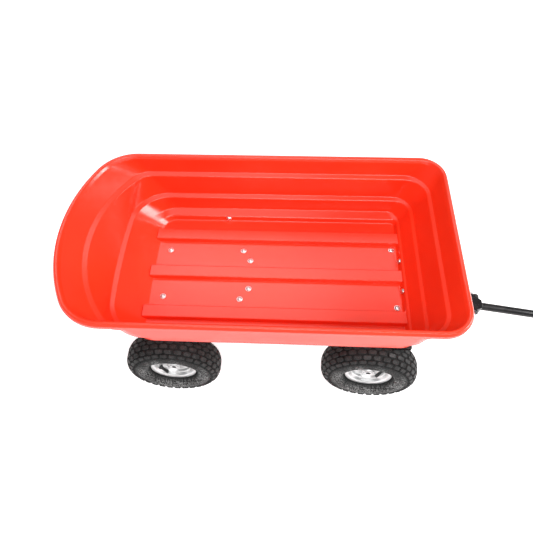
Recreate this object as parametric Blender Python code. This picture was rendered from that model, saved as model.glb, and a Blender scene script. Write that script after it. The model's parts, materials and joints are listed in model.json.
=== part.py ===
"""Four-wheel garden tow cart with a tipping plastic tub, steered front axle and drop handle.

Cart frame while building: metres, +X towards the handle, +Y to the cart's left, +Z up, ground at
z = 0, rear axle at x = 0. One empty then moves everything so that the origin lies at the middle
of the whole cart's footprint.
"""
import math

import bmesh
import bpy
from mathutils import Vector

# ---------------------------------------------------------------- driving dimensions
WHEELBASE = 0.553
STEER = math.radians(-4.5)
GAP = 0.0003
WALL = 0.002

# wheels
TYRE_RADIUS = 0.130
TYRE_HALF_WIDTH = 0.0425
WHEEL_TRACK_HALF = 0.1970
AXLE_HEIGHT = TYRE_RADIUS
AXLE_RADIUS = 0.008
AXLE_HALF_LENGTH = 0.2085
FLANGE_RADIUS = 0.0635
WHEEL_SEGMENTS = 24

# chassis
SPINE_SIZE = 0.040
SPINE_BOTTOM = 0.1516
SPINE_TOP = SPINE_BOTTOM + SPINE_SIZE
SPINE_REAR = -0.115
SPINE_FRONT = WHEELBASE + 0.036
BEAM_HALF_LENGTH = 0.1385
BEAM_HALF_WIDTH = 0.018
BEAM_BOTTOM = 0.118
FRONT_BEAM_TOP = 0.1415
REAR_BEAM_TOP = SPINE_BOTTOM - GAP
BEAM_WALL = 0.003
TURNTABLE_RADIUS = 0.045
KINGPIN_RADIUS = 0.008
POST_X = 0.468
POST_TOP = 0.2520
PAD_TOP = 0.2603
TUB_PIVOT_X = -0.075
TUB_PIVOT_Z = 0.245
HINGE_PIN_RADIUS = 0.006

# tub
FLOOR_TOP = 0.280
TUB_WALL = 0.004
RIM_TOP = 0.4755
RIM_WIDTH = 0.0125
LIP_DROP = 0.0175
RIB_PITCH = 0.1258
RIB_HALF_WIDTH = 0.0174
RIB_TAPER = 0.0022
RIB_HEIGHT = 0.0139
RIB_OVERLAP = 0.0075
FRAME_TOP = FLOOR_TOP - TUB_WALL - GAP
RAIL_HEIGHT = 0.015
RAIL_BOTTOM = FRAME_TOP - RAIL_HEIGHT
RAIL_WIDTH = 0.025
RAIL_START_X = -0.050
RAIL_END_X = 0.5855
RAIL_START_Y = 0.0750
RAIL_END_Y = 0.0919
FRONT_CROSS_X = 0.606
FRONT_CROSS_HALF = 0.203
FRONT_CROSS_WIDTH = 0.040
CROSS_WIDTH = 0.030
MID_CROSS_X = 0.2048
FRONT_BOLT_X = 0.5985
BOLT_SPOTS = (
    (-0.0237, 0.0757),
    (0.1835, 0.0787),
    (MID_CROSS_X, 0.0454),
    (FRONT_BOLT_X, 0.0924),
)
BOLT_SHANK = 0.004
BOLT_HEAD = 0.0065

# latch
LATCH_X = 0.512
LATCH_Z = 0.2035
LATCH_OPEN = math.radians(13)
LATCH_PLATE = 0.005
STRIKER_X = LATCH_X + 0.022
STRIKER_Z = 0.2425
STRIKER_RADIUS = 0.004

# drawbar and handle; distances ahead of the kingpin, then along the handle from its pivot
HANDLE_PIVOT_AHEAD = 0.277
HANDLE_PIVOT_Z = 0.185
HANDLE_DROOP = math.radians(6.0)
DRAWBAR_SPREAD = 0.078
EAR_CENTRE_Y = 0.0245
EAR_RADIUS = 0.017
BAR_THICKNESS = 0.005
STOP_HALF_LENGTH = EAR_CENTRE_Y + BAR_THICKNESS / 2
PIVOT_BOLT_RADIUS = 0.006
YOKE_ARM_Y = 0.0212
YOKE_HEIGHT = 0.026
TUBE_RADIUS = 0.011
TUBE_START = 0.0268
TUBE_END = 0.7450
GRIP_PIVOT = 0.768
CLEVIS_NOSE = 0.825
CLEVIS_HALF_WIDTH = 0.018
CLEVIS_HALF_HEIGHT = 0.015
HITCH_PIN_AT = 0.808
HITCH_PIN_RADIUS = 0.006
GRIP_ARM_Y = 0.0260
GRIP_HALF_WIDTH = 0.058
GRIP_BAR = 0.900
GRIP_TUBE_RADIUS = 0.0075
SLEEVE_RADIUS = 0.0145
SLEEVE_HALF_LENGTH = 0.0415


class Level:
    """One contour of the tub: a plan outline with a bowed rear, at one height."""

    def __init__(self, half_width, front, rear, front_radius, rear_radius, bow, height):
        self.half_width = half_width
        self.front = front
        self.rear = rear
        self.front_radius = front_radius
        self.rear_radius = rear_radius
        self.bow = bow
        self.height = height

    def moved_in(self, side, front, rear, drop):
        """The same outline moved inwards by its own amount at the side, front and rear."""
        return Level(
            self.half_width - side,
            self.front - front,
            self.rear + rear,
            max(self.front_radius - side, 0.006),
            max(self.rear_radius - side, 0.010),
            self.bow - rear,
            self.height - drop,
        )


RIM = Level(0.2645, 0.7205, -0.2600, 0.069, 0.118, 0.427, RIM_TOP)
UPPER_LEDGE = Level(0.2385, 0.6815, -0.202, 0.062, 0.066, 0.336, 0.420)
MIDDLE_LEDGE = Level(0.2225, 0.6490, -0.136, 0.048, 0.100, 2.0, 0.349)
LOWER_LEDGE = Level(0.2020, 0.6218, -0.081, 0.024, 0.072, 2.0, 0.2995)
FLOOR = Level(0.188, 0.6130, -0.0595, 0.010, 0.042, 4.0, FLOOR_TOP)
# ledge half-runs at the side, front and rear, and half-drop
UPPER_RUN = (0.0062, 0.0045, 0.0060, 0.0028)
MIDDLE_RUN = (0.0062, 0.0040, 0.0060, 0.0028)
LOWER_RUN = (0.0115, 0.0030, 0.0058, 0.0053)


# ---------------------------------------------------------------- scene and material helpers
def clear_scene():
    for item in list(bpy.data.objects):
        bpy.data.objects.remove(item)


def material(name, colour, roughness, metallic):
    made = bpy.data.materials.new(name)
    made.use_nodes = True
    shader = made.node_tree.nodes["Principled BSDF"]
    shader.inputs["Base Color"].default_value = (*colour, 1.0)
    shader.inputs["Roughness"].default_value = roughness
    shader.inputs["Metallic"].default_value = metallic
    return made


def red_plastic():
    return material("red_plastic", (0.80, 0.035, 0.015), 0.35, 0.0)


def black_steel():
    return material("black_steel", (0.02, 0.02, 0.022), 0.4, 0.6)


def zinc():
    return material("zinc", (0.72, 0.73, 0.74), 0.3, 1.0)


def silver_rim():
    return material("silver_rim", (0.80, 0.80, 0.80), 0.35, 0.9)


def rubber():
    return material("rubber", (0.025, 0.025, 0.027), 0.85, 0.0)


def black_plastic():
    return material("black_plastic", (0.018, 0.018, 0.018), 0.55, 0.0)


def empty(name, parent, location=(0, 0, 0), rotation=(0, 0, 0)):
    made = bpy.data.objects.new(name, None)
    bpy.context.collection.objects.link(made)
    made.parent = parent
    made.location = location
    made.rotation_euler = rotation
    made.empty_display_size = 0.05
    return made


def add_object(name, shape, look, parent, location=(0, 0, 0), rotation=(0, 0, 0), smooth=None):
    """Turn a bmesh into a named object under its parent empty."""
    bmesh.ops.recalc_face_normals(shape, faces=shape.faces)
    mesh = bpy.data.meshes.new(name)
    shape.to_mesh(mesh)
    shape.free()
    made = bpy.data.objects.new(name, mesh)
    bpy.context.collection.objects.link(made)
    made.parent = parent
    made.location = location
    made.rotation_euler = rotation
    if look is not None:
        mesh.materials.append(look)
    if smooth is not None:
        mesh.shade_smooth()
        mesh.set_sharp_from_angle(angle=math.radians(smooth))
    return made


def cutter(name, shape, parent, location=(0, 0, 0), rotation=(0, 0, 0)):
    made = add_object(name, shape, None, parent, location, rotation)
    made.hide_render = True
    made.display_type = "WIRE"
    return made


def combine(target, other, operation):
    step = target.modifiers.new(other.name, "BOOLEAN")
    step.operation = operation
    step.solver = "EXACT"
    step.object = other


# ---------------------------------------------------------------- shape helpers
def on_axis(axis, first, second, along):
    """Point from two outline values and a distance along the extrusion axis."""
    if axis == "X":
        return (along, first, second)
    if axis == "Y":
        return (first, along, second)
    return (first, second, along)


def prism(outline, low, high, axis):
    """Solid made by extruding a plane outline along one axis."""
    shape = bmesh.new()
    rows = []
    for along in (low, high):
        rows.append([shape.verts.new(on_axis(axis, a, b, along)) for a, b in outline])
    count = len(outline)
    shape.faces.new(rows[0])
    shape.faces.new(rows[1][::-1])
    for i in range(count):
        j = (i + 1) % count
        shape.faces.new((rows[0][i], rows[1][i], rows[1][j], rows[0][j]))
    return shape


def box(x_range, y_range, z_range):
    (x0, x1), (y0, y1), (z0, z1) = x_range, y_range, z_range
    return prism(((x0, y0), (x1, y0), (x1, y1), (x0, y1)), z0, z1, "Z")


def box_tube(half_first, half_second, wall, low, high, axis, centre=(0.0, 0.0)):
    """Rectangular tube with open ends along one axis."""
    shape = bmesh.new()
    corners = ((-1, -1), (1, -1), (1, 1), (-1, 1))
    loops = []
    for along in (low, high):
        for shrink in (0.0, wall):
            loop = []
            for a, b in corners:
                first = centre[0] + a * (half_first - shrink)
                second = centre[1] + b * (half_second - shrink)
                loop.append(shape.verts.new(on_axis(axis, first, second, along)))
            loops.append(loop)
    outer_low, inner_low, outer_high, inner_high = loops
    for i in range(4):
        j = (i + 1) % 4
        shape.faces.new((outer_low[i], outer_low[j], outer_high[j], outer_high[i]))
        shape.faces.new((inner_low[j], inner_low[i], inner_high[i], inner_high[j]))
        shape.faces.new((outer_low[j], outer_low[i], inner_low[i], inner_low[j]))
        shape.faces.new((outer_high[i], outer_high[j], inner_high[j], inner_high[i]))
    return shape


def channel_outline(half_width, bottom, top, wall):
    """Inverted U section."""
    return (
        (-half_width, bottom),
        (-half_width, top),
        (half_width, top),
        (half_width, bottom),
        (half_width - wall, bottom),
        (half_width - wall, top - wall),
        (wall - half_width, top - wall),
        (wall - half_width, bottom),
    )


def turned(profile, segments, axis, closed, hex_rows=(), into=None, half_turn=0.5):
    """Solid of revolution from (along, radius) points; hex_rows are drawn as hexagons."""
    shape = into or bmesh.new()
    rings = []
    for row, (along, radius) in enumerate(profile):
        if radius == 0.0:
            rings.append([shape.verts.new(on_axis(axis, 0, 0, along))])
            continue
        ring = []
        for i in range(segments):
            angle = math.tau * (i + half_turn) / segments
            reach = radius
            if row in hex_rows:
                within = (angle - math.tau * half_turn / segments) % (math.pi / 3) - math.pi / 6
                reach = radius * math.cos(math.pi / 6) / math.cos(within)
            first = reach * math.cos(angle)
            second = reach * math.sin(angle)
            ring.append(shape.verts.new(on_axis(axis, first, second, along)))
        rings.append(ring)
    pairs = list(zip(rings, rings[1:]))
    if closed:
        pairs.append((rings[-1], rings[0]))
    for low, high in pairs:
        for i in range(segments):
            j = (i + 1) % segments
            if len(low) == 1:
                shape.faces.new((low[0], high[j], high[i]))
            elif len(high) == 1:
                shape.faces.new((low[i], low[j], high[0]))
            else:
                shape.faces.new((low[i], low[j], high[j], high[i]))
    return shape


def rod(radius, low, high, axis, segments=12, into=None):
    return turned(((low, 0.0), (low, radius), (high, radius), (high, 0.0)), segments, axis, False,
                  into=into)


def bolt_shape(axis, head_low, head_high, shank_end, nut_high, radius, head_radius):
    """Hexagon head, shank and nut along one axis, head at the low end."""
    profile = (
        (head_low, 0.0),
        (head_low, head_radius),
        (head_high, head_radius),
        (head_high, radius),
        (shank_end, radius),
        (shank_end, head_radius),
        (nut_high, head_radius),
        (nut_high, 0.0),
    )
    return turned(profile, 12, axis, False, hex_rows=(1, 2, 5, 6), half_turn=0.0)


def arc(centre, radius, start, end, steps):
    """Points on an arc, angles in degrees, both ends included."""
    points = []
    for i in range(steps + 1):
        angle = math.radians(start + (end - start) * i / steps)
        points.append((centre[0] + radius * math.cos(angle), centre[1] + radius * math.sin(angle)))
    return points


def swept_tube(path, radius, sides):
    """Round bar along a plane path in local XY."""
    shape = bmesh.new()
    rings = []
    last = len(path) - 1
    for i, point in enumerate(path):
        back = Vector(path[max(i - 1, 0)])
        ahead = Vector(path[min(i + 1, last)])
        along = (ahead - back).normalized()
        side = Vector((-along.y, along.x))
        stretch = 1.0
        if 0 < i < last:
            turn = (Vector(point) - back).angle(ahead - Vector(point))
            stretch = 1.0 / math.cos(turn / 2)
        ring = []
        for k in range(sides):
            angle = math.tau * (k + 0.5) / sides
            offset = side * (radius * stretch * math.cos(angle))
            height = radius * math.sin(angle)
            ring.append(shape.verts.new((point[0] + offset.x, point[1] + offset.y, height)))
        rings.append(ring)
    for low, high in zip(rings, rings[1:]):
        for k in range(sides):
            j = (k + 1) % sides
            shape.faces.new((low[k], low[j], high[j], high[k]))
    shape.faces.new(rings[0])
    shape.faces.new(rings[-1][::-1])
    return shape


# ---------------------------------------------------------------- tub
def level_points(level):
    """Closed plan outline, from the middle of the rear round the left side and back."""
    bow_steps, rear_steps, front_steps = 3, 5, 4
    bow_centre = level.rear + level.bow
    reach = level.half_width - level.rear_radius
    fillet_x = bow_centre - math.sqrt((level.bow - level.rear_radius) ** 2 - reach ** 2)
    join = math.degrees(math.atan2(reach, bow_centre - fillet_x))
    half = arc((bow_centre, 0.0), level.bow, 180, 180 - join, bow_steps)
    half += arc((fillet_x, reach), level.rear_radius, 180 - join, 90, rear_steps)[1:]
    front_centre = (level.front - level.front_radius, level.half_width - level.front_radius)
    half += arc(front_centre, level.front_radius, 90, 0, front_steps)
    mirrored = [(x, -y) for x, y in half[:0:-1]]
    return half + mirrored


def tub_levels():
    """Every contour of the sheet, from the lip's lower edge over the rim down to the floor."""
    edge = RIM.moved_in(0.0, 0.0, 0.0, LIP_DROP)
    shoulder = RIM.moved_in(0.0, 0.0, 0.0, 0.0045)
    crown_out = RIM.moved_in(0.0035, 0.0035, 0.0035, 0.0)
    crown_in = RIM.moved_in(RIM_WIDTH, RIM_WIDTH, RIM_WIDTH, 0.0)
    throat = RIM.moved_in(RIM_WIDTH + 0.0045, RIM_WIDTH + 0.0055, RIM_WIDTH + 0.0055, 0.005)
    levels = [edge, shoulder, crown_out, crown_in, throat]
    for ledge, run in ((UPPER_LEDGE, UPPER_RUN), (MIDDLE_LEDGE, MIDDLE_RUN), (LOWER_LEDGE, LOWER_RUN)):
        levels.append(ledge.moved_in(*(-value for value in run)))
        levels.append(ledge.moved_in(*run))
    levels.append(FLOOR)
    return levels


def tub_sheet():
    """Open sheet of the tub's visible surface."""
    shape = bmesh.new()
    rings = []
    for level in tub_levels():
        points = level_points(level)
        rings.append([shape.verts.new((x, y, level.height)) for x, y in points])
    count = len(rings[0])
    for high, low in zip(rings, rings[1:]):
        for i in range(count):
            j = (i + 1) % count
            shape.faces.new((high[i], low[i], low[j], high[j]))
    shape.faces.new(rings[-1])
    return shape


def rib_shape(half_top, half_base, low, high, rear, front):
    """Three long trapezoid bars along the floor with upright ends."""
    shape = bmesh.new()
    for step in (-1, 0, 1):
        middle = step * RIB_PITCH
        rows = []
        for x in (rear, front):
            corners = (
                (x, middle - half_base, low),
                (x, middle + half_base, low),
                (x, middle + half_top, high),
                (x, middle - half_top, high),
            )
            rows.append([shape.verts.new(corner) for corner in corners])
        shape.faces.new(rows[0])
        shape.faces.new(rows[1][::-1])
        for i in range(4):
            j = (i + 1) % 4
            shape.faces.new((rows[0][i], rows[1][i], rows[1][j], rows[0][j]))
    return shape


def bolt_places():
    """Every floor bolt with its name: four rows, left and right."""
    names = ("rear", "middle", "inner", "front")
    for name, (x, y) in zip(names, BOLT_SPOTS):
        yield f"tub_bolt_{name}_left", x, y
        yield f"tub_bolt_{name}_right", x, -y


def bolt_holes():
    shape = bmesh.new()
    for _, x, y in bolt_places():
        before = len(shape.verts)
        rod(BOLT_SHANK + 0.0004, RAIL_BOTTOM - 0.01, FLOOR_TOP + 0.02, "Z", 10, into=shape)
        shape.verts.ensure_lookup_table()
        bmesh.ops.translate(shape, verts=shape.verts[before:], vec=(x, y, 0))
    return shape


def make_tub(parent, back, holes, red):
    tub = add_object("tub", tub_sheet(), red, parent, back, smooth=35)
    shell = tub.modifiers.new("wall", "SOLIDIFY")
    shell.thickness = TUB_WALL
    shell.offset = -1.0
    shell.use_even_offset = True
    half_base = RIB_HALF_WIDTH + RIB_TAPER
    outer = rib_shape(RIB_HALF_WIDTH, half_base, FLOOR_TOP - 0.002, FLOOR_TOP + RIB_HEIGHT,
                      FLOOR.rear - RIB_OVERLAP, FLOOR.front + 0.0040)
    hollow = rib_shape(RIB_HALF_WIDTH - TUB_WALL, half_base - TUB_WALL, FLOOR_TOP - 0.010,
                       FLOOR_TOP + RIB_HEIGHT - TUB_WALL, FLOOR.rear + 0.004, FLOOR.front - 0.006)
    combine(tub, cutter("rib_union", outer, parent, back), "UNION")
    combine(tub, cutter("rib_hollow", hollow, parent, back), "DIFFERENCE")
    combine(tub, holes, "DIFFERENCE")


def make_rails(parent, back, holes, steel):
    """Two slightly splayed rails and three cross members bolted under the floor."""
    length = RAIL_END_X - RAIL_START_X
    splay = math.atan2(RAIL_END_Y - RAIL_START_Y, length)
    middle_z = RAIL_BOTTOM + RAIL_HEIGHT / 2
    for side, sign in (("left", 1), ("right", -1)):
        shape = box_tube(RAIL_WIDTH / 2, RAIL_HEIGHT / 2, WALL, 0.0, length, "X")
        start = (RAIL_START_X + back[0], sign * RAIL_START_Y, middle_z + back[2])
        rail = add_object(f"tub_rail_{side}", shape, steel, parent, start, (0, 0, sign * splay))
        combine(rail, holes, "DIFFERENCE")
    front = box_tube(FRONT_CROSS_WIDTH / 2, RAIL_HEIGHT / 2, WALL, -FRONT_CROSS_HALF,
                     FRONT_CROSS_HALF, "Y", (FRONT_CROSS_X, middle_z))
    combine(add_object("tub_front_cross", front, steel, parent, back), holes, "DIFFERENCE")
    middle = box_tube(CROSS_WIDTH / 2, RAIL_HEIGHT / 2, WALL, -0.0675, 0.0675, "Y",
                      (MID_CROSS_X, middle_z))
    combine(add_object("tub_middle_cross", middle, steel, parent, back), holes, "DIFFERENCE")
    plate = box((POST_X - 0.028, STRIKER_X + 0.022), (-0.0735, 0.0735), (RAIL_BOTTOM, RAIL_BOTTOM + 0.005))
    add_object("tub_latch_plate", plate, steel, parent, back)


def make_bolts(parent, back, metal):
    """Round-headed carriage bolts with their nuts under the frame."""
    nut_top = RAIL_BOTTOM - GAP
    profile = (
        (nut_top - 0.0055, 0.0),
        (nut_top - 0.0055, BOLT_HEAD),
        (nut_top, BOLT_HEAD),
        (nut_top, BOLT_SHANK),
        (FLOOR_TOP + GAP, BOLT_SHANK),
        (FLOOR_TOP + GAP, BOLT_HEAD),
        (FLOOR_TOP + GAP + 0.0018, BOLT_HEAD * 0.85),
        (FLOOR_TOP + GAP + 0.0032, 0.0),
    )
    for name, x, y in bolt_places():
        shape = turned(profile, 12, "Z", False, hex_rows=(1, 2), half_turn=0.0)
        add_object(name, shape, metal, parent, (x + back[0], y, back[2]), smooth=35)


def make_tub_hinges(parent, back, pin_hole, steel):
    """Two ears that hang from the rails and turn on the hinge pin."""
    ear = [(-0.015, RAIL_BOTTOM - GAP), (-0.015, 0.2500)]
    ear += arc((TUB_PIVOT_X, TUB_PIVOT_Z), 0.0125, -75, -230, 6)
    ear += [(-0.066, RAIL_BOTTOM - GAP)]
    for side, low, high in (("left", 0.0655, 0.0695), ("right", -0.0695, -0.0655)):
        plate = add_object(f"tub_hinge_{side}", prism(ear, low, high, "Y"), steel, parent, back)
        combine(plate, pin_hole, "DIFFERENCE")


def make_striker(parent, back, steel, metal):
    """Inverted U under the latch plate with the round bar that the latch holds."""
    top = RAIL_BOTTOM - GAP
    outline = ((-0.019, 0.2345), (-0.019, top), (0.019, top), (0.019, 0.2345), (0.016, 0.2345),
               (0.016, top - 0.0022), (-0.016, top - 0.0022), (-0.016, 0.2345))
    shape = prism(outline, STRIKER_X - 0.010, STRIKER_X + 0.012, "X")
    bracket = add_object("striker_bracket", shape, steel, parent, back)
    at = (STRIKER_X + back[0], 0, STRIKER_Z + back[2])
    hole = rod(STRIKER_RADIUS + GAP, -0.03, 0.03, "Y")
    combine(bracket, cutter("striker_hole", hole, parent, at), "DIFFERENCE")
    pin = turned(((-0.0225, 0.0), (-0.0225, 0.006), (-0.0194, 0.006), (-0.0194, STRIKER_RADIUS),
                  (0.0194, STRIKER_RADIUS), (0.0194, 0.006), (0.0225, 0.006), (0.0225, 0.0)),
                 12, "Y", False)
    add_object("striker_pin", pin, metal, parent, at, smooth=35)


# ---------------------------------------------------------------- chassis
def make_spine(parent, steel):
    half = SPINE_SIZE / 2
    shape = box_tube(half, half, 0.0025, SPINE_REAR, SPINE_FRONT, "X", (0, SPINE_BOTTOM + half))
    spine = add_object("chassis_spine", shape, steel, parent)
    hole = rod(KINGPIN_RADIUS + GAP, SPINE_BOTTOM - 0.01, SPINE_TOP + 0.01, "Z", 16)
    combine(spine, cutter("kingpin_hole", hole, parent, (WHEELBASE, 0, 0)), "DIFFERENCE")


def make_rear_hinge(parent, steel, metal):
    """U bracket on the spine's rear end and the pin that the tub tips on."""
    low = SPINE_TOP + GAP
    top = TUB_PIVOT_Z + 0.012
    outline = ((-0.062, low), (0.062, low), (0.062, top), (0.058, top), (0.058, low + 0.004),
               (-0.058, low + 0.004), (-0.058, top), (-0.062, top))
    shape = prism(outline, TUB_PIVOT_X - 0.024, TUB_PIVOT_X + 0.026, "X")
    bracket = add_object("rear_hinge_bracket", shape, steel, parent)
    hole = rod(HINGE_PIN_RADIUS + GAP, -0.09, 0.09, "Y")
    pin_hole = cutter("hinge_pin_hole", hole, parent, (TUB_PIVOT_X, 0, TUB_PIVOT_Z))
    combine(bracket, pin_hole, "DIFFERENCE")
    pin = turned(((-0.0745, 0.0), (-0.0745, 0.0095), (-0.0700, 0.0095), (-0.0700, HINGE_PIN_RADIUS),
                  (0.0700, HINGE_PIN_RADIUS), (0.0700, 0.0095), (0.0745, 0.0095), (0.0745, 0.0)),
                 12, "Y", False)
    add_object("tub_hinge_pin", pin, metal, parent, (TUB_PIVOT_X, 0, TUB_PIVOT_Z), smooth=35)
    return pin_hole


def make_rear_axle(parent, steel, metal):
    outline = channel_outline(BEAM_HALF_WIDTH, BEAM_BOTTOM, REAR_BEAM_TOP, BEAM_WALL)
    shape = prism(outline, -BEAM_HALF_LENGTH, BEAM_HALF_LENGTH, "Y")
    add_object("rear_axle_beam", shape, steel, parent)
    axle = rod(AXLE_RADIUS, -AXLE_HALF_LENGTH, AXLE_HALF_LENGTH, "Y", 16)
    add_object("rear_axle", axle, metal, parent, (0, 0, AXLE_HEIGHT), smooth=35)
    near = SPINE_SIZE / 2 + GAP
    for side, sign in (("left", 1), ("right", -1)):
        gusset = ((sign * near, SPINE_BOTTOM), (sign * 0.115, SPINE_BOTTOM), (sign * near, 0.186))
        add_object(f"rear_gusset_{side}", prism(gusset, -0.002, 0.002, "X"), steel, parent)


def make_turntable_top(parent, steel):
    low = FRONT_BEAM_TOP + 0.0048
    ring = ((low, KINGPIN_RADIUS + GAP), (low, TURNTABLE_RADIUS),
            (SPINE_BOTTOM - GAP, TURNTABLE_RADIUS), (SPINE_BOTTOM - GAP, KINGPIN_RADIUS + GAP))
    add_object("turntable_upper_plate", turned(ring, 20, "Z", True), steel, parent,
               (WHEELBASE, 0, 0), smooth=35)


def make_bed_rest(parent, steel, black):
    """Post on the spine that carries the front of the lowered tub on a rubber pad."""
    shape = box_tube(0.018, 0.020, WALL, SPINE_TOP + GAP, POST_TOP, "Z", (POST_X, 0))
    add_object("bed_rest_post", shape, steel, parent)
    pad = box((POST_X - 0.022, POST_X + 0.022), (-0.022, 0.022), (POST_TOP + GAP, PAD_TOP))
    add_object("bed_rest_pad", pad, black, parent)


def make_latch_mount(parent, steel, metal):
    """Open U bracket in front of the post, with the latch's pivot bolt."""
    low = SPINE_TOP + GAP
    outline = ((-0.013, low), (0.013, low), (0.013, 0.2150), (0.010, 0.2150), (0.010, low + 0.0016),
               (-0.010, low + 0.0016), (-0.010, 0.2150), (-0.013, 0.2150))
    shape = prism(outline, LATCH_X - 0.012, LATCH_X + 0.012, "X")
    bracket = add_object("latch_bracket", shape, steel, parent)
    at = (LATCH_X, 0, LATCH_Z)
    hole = rod(0.004 + GAP, -0.03, 0.03, "Y")
    combine(bracket, cutter("latch_bolt_hole", hole, parent, at), "DIFFERENCE")
    bolt = bolt_shape("Y", -0.0178, -0.0133, 0.0133, 0.0178, 0.004, 0.0075)
    add_object("latch_bolt", bolt, metal, parent, at, smooth=35)


# ---------------------------------------------------------------- latch
def make_latch(parent, steel, black):
    """Hook and release lever, drawn closed about its own pivot."""
    hook_low = STRIKER_Z - LATCH_Z + STRIKER_RADIUS + 0.0005
    back_of_striker = STRIKER_X - LATCH_X - STRIKER_RADIUS - 0.0005
    outline = arc((0, 0), 0.009, -90, -270, 6)
    outline += [
        (0.002, 0.016),
        (0.004, hook_low + 0.0055),
        (back_of_striker + 0.010, hook_low + 0.0055),
        (back_of_striker + 0.010, hook_low),
        (back_of_striker, hook_low),
        (back_of_striker, 0.029),
        (0.200, 0.029),
        (0.200, 0.017),
        (0.014, 0.017),
        (0.009, 0.004),
    ]
    half = LATCH_PLATE / 2
    latch = add_object("dump_latch", prism(outline, -half, half, "Y"), steel, parent)
    hole = rod(0.004 + GAP, -0.02, 0.02, "Y")
    combine(latch, cutter("latch_hole", hole, parent), "DIFFERENCE")
    thin = half + GAP
    sleeve = ((-0.0065, 0.0130), (0.0065, 0.0130), (0.0065, 0.0330), (-0.0065, 0.0330))
    inner = ((-thin, 0.0170 - GAP), (thin, 0.0170 - GAP), (thin, 0.0290 + GAP), (-thin, 0.0290 + GAP))
    shape = bmesh.new()
    loops = []
    for x, points in ((0.150, sleeve), (0.150, inner), (0.208, sleeve), (0.200 + GAP, inner)):
        loops.append([shape.verts.new((x, y, z)) for y, z in points])
    outer_low, inner_low, outer_high, inner_end = loops
    for i in range(4):
        j = (i + 1) % 4
        shape.faces.new((outer_low[i], outer_low[j], outer_high[j], outer_high[i]))
        shape.faces.new((inner_low[i], inner_low[j], inner_end[j], inner_end[i]))
        shape.faces.new((outer_low[i], outer_low[j], inner_low[j], inner_low[i]))
    shape.faces.new(outer_high)
    shape.faces.new(inner_end)
    add_object("latch_grip", shape, black, parent)


# ---------------------------------------------------------------- front steering
def make_front_beam(parent, steel, metal):
    outline = channel_outline(BEAM_HALF_WIDTH, BEAM_BOTTOM, FRONT_BEAM_TOP, BEAM_WALL)
    shape = prism(outline, -BEAM_HALF_LENGTH, BEAM_HALF_LENGTH, "Y")
    add_object("front_axle_beam", shape, steel, parent)
    axle = rod(AXLE_RADIUS, -AXLE_HALF_LENGTH, AXLE_HALF_LENGTH, "Y", 16)
    add_object("front_axle", axle, metal, parent, (0, 0, AXLE_HEIGHT), smooth=35)


def make_turntable_bottom(parent, steel, metal):
    low = FRONT_BEAM_TOP + GAP
    high = low + 0.004
    bore = KINGPIN_RADIUS + GAP
    ring = ((low, bore), (low, TURNTABLE_RADIUS), (high, TURNTABLE_RADIUS), (high, bore))
    add_object("turntable_lower_plate", turned(ring, 20, "Z", True), steel, parent, smooth=35)
    nut = SPINE_TOP + 0.0006
    profile = ((low, 0.0), (low, KINGPIN_RADIUS), (nut, KINGPIN_RADIUS), (nut, 0.0135),
               (nut + 0.010, 0.0135), (nut + 0.010, 0.0))
    stud = turned(profile, 12, "Z", False, hex_rows=(3, 4), half_turn=0.0)
    add_object("kingpin", stud, metal, parent, smooth=35)


def make_drawbars(parent, steel, metal):
    """Two flat bars that converge from the axle beam to the handle's pivot ears."""
    start = BEAM_HALF_WIDTH + GAP
    bend = HANDLE_PIVOT_AHEAD - 0.045
    rise = (HANDLE_PIVOT_Z - AXLE_HEIGHT) / (HANDLE_PIVOT_AHEAD - start)
    half = 0.015
    bend_z = AXLE_HEIGHT + rise * (bend - start)
    end = arc((HANDLE_PIVOT_AHEAD, HANDLE_PIVOT_Z), EAR_RADIUS, -80, 100, 8)
    pivot = (HANDLE_PIVOT_AHEAD, 0, HANDLE_PIVOT_Z)
    hole = cutter("ear_hole", rod(PIVOT_BOLT_RADIUS + GAP, -0.06, 0.06, "Y"), parent, pivot)
    for side, sign in (("left", 1), ("right", -1)):
        shape = bmesh.new()
        faces = []
        for across in (-BAR_THICKNESS / 2, BAR_THICKNESS / 2):
            near = sign * DRAWBAR_SPREAD + across
            far = sign * EAR_CENTRE_Y + across
            low0 = shape.verts.new((start, near, AXLE_HEIGHT - 0.012))
            high0 = shape.verts.new((start, near, AXLE_HEIGHT + 0.0115))
            low1 = shape.verts.new((bend, far, bend_z - half))
            high1 = shape.verts.new((bend, far, bend_z + half))
            tip = [shape.verts.new((x, far, z)) for x, z in end]
            shape.faces.new((low0, low1, high1, high0))
            shape.faces.new([low1] + tip + [high1])
            faces.append([low0, low1] + tip + [high1, high0])
        count = len(faces[0])
        for i in range(count):
            j = (i + 1) % count
            shape.faces.new((faces[0][i], faces[0][j], faces[1][j], faces[1][i]))
        bar = add_object(f"drawbar_{side}", shape, steel, parent)
        combine(bar, hole, "DIFFERENCE")
    stop_low = HANDLE_PIVOT_Z + 0.0154
    stop = box((HANDLE_PIVOT_AHEAD - 0.027, HANDLE_PIVOT_AHEAD - 0.0145), (-STOP_HALF_LENGTH, STOP_HALF_LENGTH),
               (stop_low, stop_low + 0.004))
    add_object("handle_stop", stop, steel, parent)
    reach = EAR_CENTRE_Y + BAR_THICKNESS / 2 + GAP
    bolt = bolt_shape("Y", -reach - 0.0075, -reach, reach, reach + 0.0095, PIVOT_BOLT_RADIUS, 0.0105)
    add_object("handle_pivot_bolt", bolt, metal, parent, pivot, smooth=35)


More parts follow.
